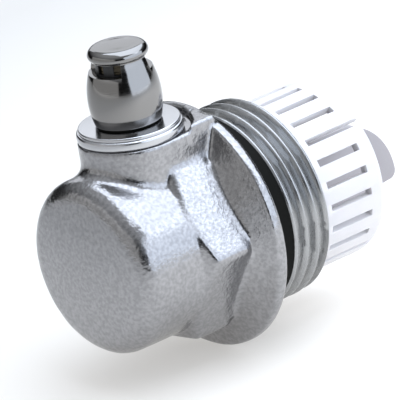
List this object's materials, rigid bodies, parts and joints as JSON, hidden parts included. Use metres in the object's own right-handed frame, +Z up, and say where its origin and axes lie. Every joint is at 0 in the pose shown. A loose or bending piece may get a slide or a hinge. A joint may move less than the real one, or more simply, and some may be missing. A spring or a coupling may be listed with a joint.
{
  "type": "automatic air vent",
  "caption": "Side-entry automatic radiator air vent with a chromed brass body, screw cap, strainer cage and float.",
  "frame": {"origin": "middle of the flange's rear sealing face, on the thread axis", "axes": "+Y along the thread into the radiator, +Z up along the vent boss and cap, +X to the right seen from the nose"},
  "size_m": [0.0408, 0.0643, 0.0546],
  "materials": {
    "chromed_casting": "chrome plate over a sand-cast brass skin, fine pebble texture",
    "polished_chrome": "mirror polished chrome plate",
    "machined_brass": "turned brass",
    "stainless_steel": "drawn stainless steel",
    "black_rubber": "moulded EPDM rubber",
    "white_plastic": "moulded white polyamide, satin",
    "natural_plastic": "moulded natural polypropylene, satin",
    "black_plastic": "moulded black polyamide, satin",
    "fibre": "pressed cellulose fibre"
  },
  "bodies": {
    "root": {"valve_body": "chromed_casting", "flange_seal": "black_rubber", "float_cage": "white_plastic", "vent_insert": "polished_chrome", "insert_o_ring": "black_rubber", "seat_nozzle": "machined_brass", "pivot_bracket": "stainless_steel", "bracket_nut": "machined_brass", "pivot_pin": "stainless_steel", "stem_guide": "natural_plastic"},
    "float": {"float_shell": "natural_plastic", "float_end_plug": "natural_plastic", "float_lever": "machined_brass", "lever_screws": "stainless_steel"},
    "obturator": {"obturator_stem": "machined_brass", "obturator_pad": "black_rubber", "obturator_spring": "stainless_steel"},
    "shutoff": {"shutoff_plunger": "machined_brass", "shutoff_ring": "black_rubber", "shutoff_spring": "stainless_steel"},
    "cap_carrier": {"cap_seal_ring": "black_rubber"},
    "cap": {"cap_shell": "polished_chrome", "cartridge_holder": "black_plastic", "fibre_discs": "fibre"}
  },
  "joints": [
    {"name": "float_swing", "type": "hinge", "parent": "root", "child": "float", "pos_m": [0, -0.017, 0], "axis": [1, 0, 0], "range_deg": [0, 3.5]},
    {"name": "obturator_lift", "type": "slide", "parent": "root", "child": "obturator", "axis": [0, 0, 1], "range_m": [0, 0.00034], "deforming": ["obturator_spring"]},
    {"name": "cap_lift", "type": "slide", "parent": "root", "child": "cap_carrier", "axis": [0, 0, 1], "range_m": [0, 0.001]},
    {"name": "cap_turn", "type": "hinge", "parent": "cap_carrier", "child": "cap", "pos_m": [0, -0.0115, 0], "axis": [0, 0, 1], "range_deg": [0, 360]},
    {"name": "shutoff_rise", "type": "slide", "parent": "root", "child": "shutoff", "axis": [0, 0, 1], "range_m": [0, 0.00101], "deforming": ["shutoff_spring"]}
  ],
  "couplings": [
    {"joint": "obturator_lift", "follows": "float_swing", "m_per_rad": 0.0055},
    {"joint": "cap_turn", "follows": "cap_lift", "rad_per_m": 6283.2},
    {"joint": "shutoff_rise", "follows": "cap_lift", "ratio": 1}
  ]
}
